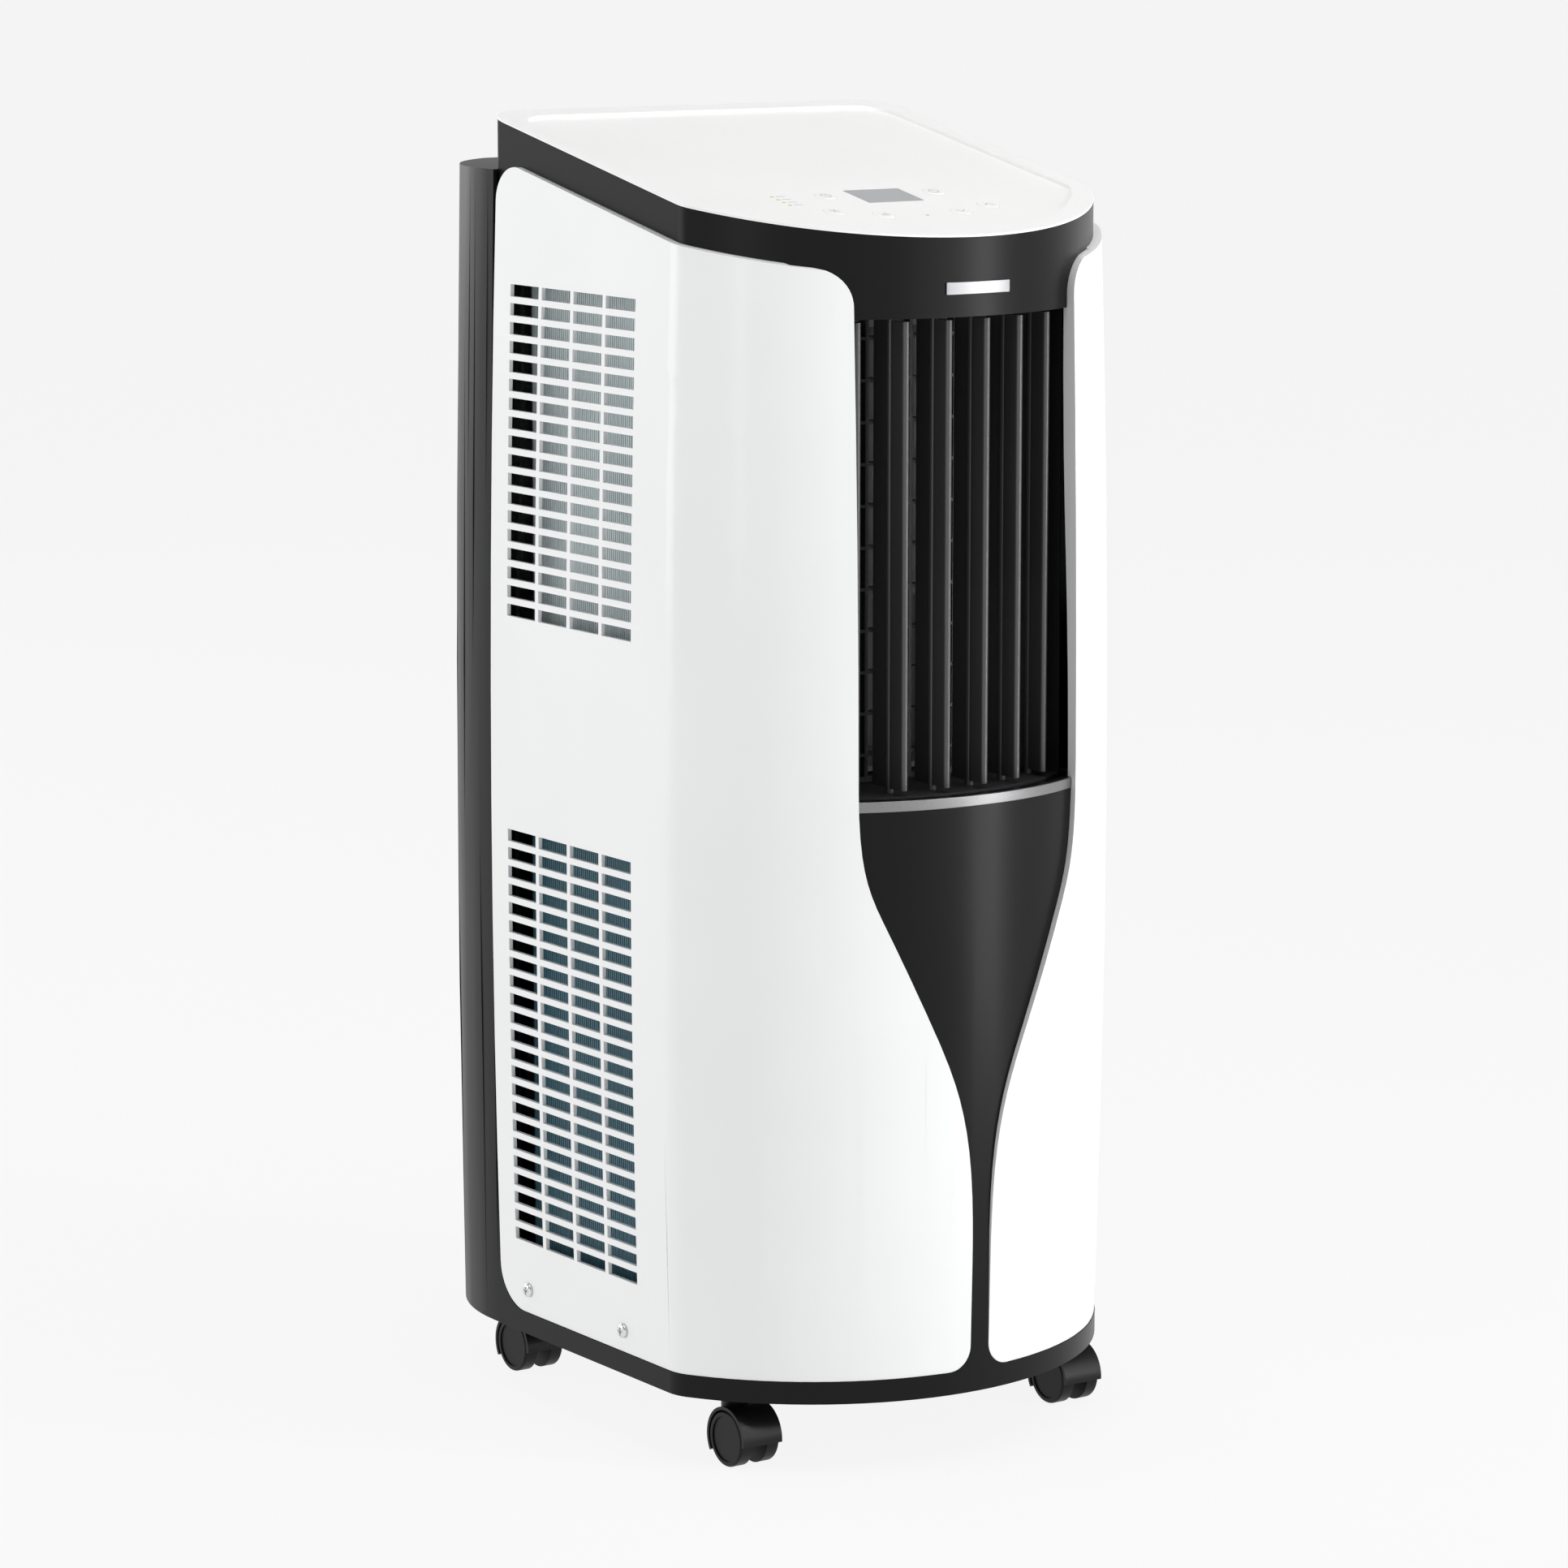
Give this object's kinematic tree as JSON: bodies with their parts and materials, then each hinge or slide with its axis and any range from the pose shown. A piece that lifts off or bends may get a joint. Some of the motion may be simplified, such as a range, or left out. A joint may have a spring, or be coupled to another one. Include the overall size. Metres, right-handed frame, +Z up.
{
  "type": "portable air conditioner",
  "caption": "Tall portable room air conditioner on swivelling twin-wheel casters, with a bowed front, slanting control lid, swinging vertical louvres and slotted side intakes.",
  "frame": {"origin": "centre of the bounding box's bottom face, on the floor", "axes": "+Z up, +Y towards the back of the machine, +X towards its right side as seen from the front"},
  "size_m": [0.3102, 0.3997, 0.77],
  "materials": {
    "panel_white": "gloss white moulded plastic, faint fine texture",
    "lid_white": "satin white moulded plastic",
    "housing_charcoal": "satin charcoal moulded plastic",
    "shell_charcoal": "fine-textured charcoal moulded plastic",
    "base_black": "fine-textured black moulded plastic",
    "silver_trim": "silver-painted satin plastic",
    "silver_badge": "blank brushed foil badge",
    "display_grey": "tinted grey window",
    "lens_amber": "translucent lamp lens",
    "key_white": "satin white key with a pale printed symbol",
    "board_green": "printed circuit board",
    "louvre_charcoal": "satin charcoal blade",
    "link_grey": "natural acetal",
    "guide_black": "black moulded grid",
    "motor_steel": "plated motor can",
    "fan_black": "black moulded fan",
    "volute_grey": "grey moulded duct",
    "coil_fins": "closely stacked coated aluminium fins",
    "copper_tube": "drawn copper",
    "compressor_black": "semi-gloss black enamel",
    "foot_rubber": "moulded rubber",
    "capacitor_can": "drawn can",
    "box_zinc": "galvanised sheet",
    "filter_black": "black moulded frame",
    "filter_net": "fine woven net",
    "screw_steel": "bright plated steel",
    "hood_black": "satin black nylon",
    "wheel_black": "satin black nylon, polished tread",
    "stem_steel": "zinc-plated steel",
    "exhaust_black": "black moulded collar"
  },
  "bodies": {
    "chassis": {"accumulator": "compressor_black", "badge": "silver_badge", "base_pan": "base_black", "caster_stems": "stem_steel", "compressor": "compressor_black", "compressor_grommets": "foot_rubber", "condenser_bends": "copper_tube", "condenser_coil": "coil_fins", "control_board": "board_green", "control_box": "box_zinc", "cord_gland": "foot_rubber", "display_window": "display_grey", "drip_tray": "volute_grey", "evaporator_bends": "copper_tube", "evaporator_coil": "coil_fins", "exhaust_collar": "exhaust_black", "front_housing": "housing_charcoal", "guide_grille": "guide_black", "indicator_lenses": "lens_amber", "lower_fan_motor": "motor_steel", "lower_volute": "volute_grey", "outlet_duct": "guide_black", "panel_screws": "screw_steel", "rear_shell": "shell_charcoal", "refrigerant_pipes": "copper_tube", "run_capacitor": "capacitor_can", "side_panel_left": "panel_white", "side_panel_right": "panel_white", "swing_motor": "motor_steel", "top_cover": "lid_white", "trim_strip": "silver_trim", "upper_fan_motor": "motor_steel", "upper_volute": "volute_grey"},
    "vertical_louvre_1": {"vertical_louvre_1": "louvre_charcoal"},
    "vertical_louvre_2": {"vertical_louvre_2": "louvre_charcoal"},
    "vertical_louvre_3": {"vertical_louvre_3": "louvre_charcoal"},
    "vertical_louvre_4": {"vertical_louvre_4": "louvre_charcoal"},
    "vertical_louvre_5": {"vertical_louvre_5": "louvre_charcoal"},
    "vertical_louvre_6": {"vertical_louvre_6": "louvre_charcoal"},
    "louvre_link": {"louvre_link": "link_grey"},
    "key_down": {"key_down": "key_white"},
    "key_mode": {"key_mode": "key_white"},
    "key_power": {"key_power": "key_white"},
    "key_speed": {"key_speed": "key_white"},
    "key_timer": {"key_timer": "key_white"},
    "key_up": {"key_up": "key_white"},
    "upper_blower_wheel": {"upper_blower_wheel": "fan_black"},
    "lower_blower_wheel": {"lower_blower_wheel": "fan_black"},
    "filter": {"filter_frame": "filter_black", "filter_mesh": "filter_net"},
    "drain_plug": {"drain_plug": "foot_rubber"},
    "front_left_caster_hood": {"front_left_caster_hood": "hood_black"},
    "front_left_caster_wheels": {"front_left_caster_wheels": "wheel_black"},
    "front_right_caster_hood": {"front_right_caster_hood": "hood_black"},
    "front_right_caster_wheels": {"front_right_caster_wheels": "wheel_black"},
    "rear_left_caster_hood": {"rear_left_caster_hood": "hood_black"},
    "rear_left_caster_wheels": {"rear_left_caster_wheels": "wheel_black"},
    "rear_right_caster_hood": {"rear_right_caster_hood": "hood_black"},
    "rear_right_caster_wheels": {"rear_right_caster_wheels": "wheel_black"}
  },
  "joints": [
    {"name": "louvre_1_swing", "type": "hinge", "parent": "chassis", "child": "vertical_louvre_1", "pos_m": [-0.06625, -0.15179, 0.53], "axis": [0, 0, 1], "range_deg": [-35, 35]},
    {"name": "louvre_2_swing", "type": "hinge", "parent": "chassis", "child": "vertical_louvre_2", "pos_m": [-0.03975, -0.16137, 0.53], "axis": [0, 0, 1], "range_deg": [-35, 35]},
    {"name": "louvre_3_swing", "type": "hinge", "parent": "chassis", "child": "vertical_louvre_3", "pos_m": [-0.01325, -0.16594, 0.53], "axis": [0, 0, 1], "range_deg": [-35, 35]},
    {"name": "louvre_4_swing", "type": "hinge", "parent": "chassis", "child": "vertical_louvre_4", "pos_m": [0.01325, -0.16594, 0.53], "axis": [0, 0, 1], "range_deg": [-35, 35]},
    {"name": "louvre_5_swing", "type": "hinge", "parent": "chassis", "child": "vertical_louvre_5", "pos_m": [0.03975, -0.16137, 0.53], "axis": [0, 0, 1], "range_deg": [-35, 35]},
    {"name": "louvre_6_swing", "type": "hinge", "parent": "chassis", "child": "vertical_louvre_6", "pos_m": [0.06625, -0.15179, 0.53], "axis": [0, 0, 1], "range_deg": [-35, 35]},
    {"name": "link_pivot", "type": "hinge", "parent": "vertical_louvre_1", "child": "louvre_link", "pos_m": [-0.06625, -0.13979, 0.672], "axis": [0, 0, 1], "range_deg": [-35, 35]},
    {"name": "key_down_press", "type": "slide", "parent": "chassis", "child": "key_down", "axis": [0, 0.2023, -0.9793], "range_m": [0, 0.0008], "stiffness_N_per_m": 400},
    {"name": "key_mode_press", "type": "slide", "parent": "chassis", "child": "key_mode", "axis": [0, 0.2023, -0.9793], "range_m": [0, 0.0008], "stiffness_N_per_m": 400},
    {"name": "key_power_press", "type": "slide", "parent": "chassis", "child": "key_power", "axis": [0, 0.2023, -0.9793], "range_m": [0, 0.0008], "stiffness_N_per_m": 400},
    {"name": "key_speed_press", "type": "slide", "parent": "chassis", "child": "key_speed", "axis": [0, 0.2023, -0.9793], "range_m": [0, 0.0008], "stiffness_N_per_m": 400},
    {"name": "key_timer_press", "type": "slide", "parent": "chassis", "child": "key_timer", "axis": [0, 0.2023, -0.9793], "range_m": [0, 0.0008], "stiffness_N_per_m": 400},
    {"name": "key_up_press", "type": "slide", "parent": "chassis", "child": "key_up", "axis": [0, 0.2023, -0.9793], "range_m": [0, 0.0008], "stiffness_N_per_m": 400},
    {"name": "upper_blower_spin", "type": "hinge", "parent": "chassis", "child": "upper_blower_wheel", "pos_m": [0, -0.08, 0.575], "axis": [0, 1, 0], "continuous": true},
    {"name": "lower_blower_spin", "type": "hinge", "parent": "chassis", "child": "lower_blower_wheel", "pos_m": [0, 0.12, 0.165], "axis": [0, 1, 0], "continuous": true},
    {"name": "filter_lift", "type": "slide", "parent": "chassis", "child": "filter", "axis": [0, 0, 1], "range_m": [0, 0.25]},
    {"name": "drain_plug_pull", "type": "slide", "parent": "chassis", "child": "drain_plug", "axis": [0, 1, 0], "range_m": [0, 0.015]},
    {"name": "front_left_swivel", "type": "hinge", "parent": "chassis", "child": "front_left_caster_hood", "pos_m": [-0.1164, -0.1163, 0.04], "axis": [0, 0, 1], "continuous": true},
    {"name": "front_left_roll", "type": "hinge", "parent": "front_left_caster_hood", "child": "front_left_caster_wheels", "pos_m": [-0.1164, -0.1263, 0.0163], "axis": [1, 0, 0], "continuous": true},
    {"name": "front_right_swivel", "type": "hinge", "parent": "chassis", "child": "front_right_caster_hood", "pos_m": [0.1164, -0.1163, 0.04], "axis": [0, 0, 1], "continuous": true},
    {"name": "front_right_roll", "type": "hinge", "parent": "front_right_caster_hood", "child": "front_right_caster_wheels", "pos_m": [0.1164, -0.1263, 0.0163], "axis": [1, 0, 0], "continuous": true},
    {"name": "rear_left_swivel", "type": "hinge", "parent": "chassis", "child": "rear_left_caster_hood", "pos_m": [-0.111, 0.1265, 0.04], "axis": [0, 0, 1], "continuous": true},
    {"name": "rear_left_roll", "type": "hinge", "parent": "rear_left_caster_hood", "child": "rear_left_caster_wheels", "pos_m": [-0.111, 0.1165, 0.0163], "axis": [1, 0, 0], "continuous": true},
    {"name": "rear_right_swivel", "type": "hinge", "parent": "chassis", "child": "rear_right_caster_hood", "pos_m": [0.111, 0.1265, 0.04], "axis": [0, 0, 1], "continuous": true},
    {"name": "rear_right_roll", "type": "hinge", "parent": "rear_right_caster_hood", "child": "rear_right_caster_wheels", "pos_m": [0.111, 0.1165, 0.0163], "axis": [1, 0, 0], "continuous": true}
  ],
  "couplings": [
    {"joint": "louvre_2_swing", "follows": "louvre_1_swing", "ratio": 1},
    {"joint": "louvre_3_swing", "follows": "louvre_1_swing", "ratio": 1},
    {"joint": "louvre_4_swing", "follows": "louvre_1_swing", "ratio": 1},
    {"joint": "louvre_5_swing", "follows": "louvre_1_swing", "ratio": 1},
    {"joint": "louvre_6_swing", "follows": "louvre_1_swing", "ratio": 1},
    {"joint": "link_pivot", "follows": "louvre_1_swing", "ratio": -1}
  ]
}
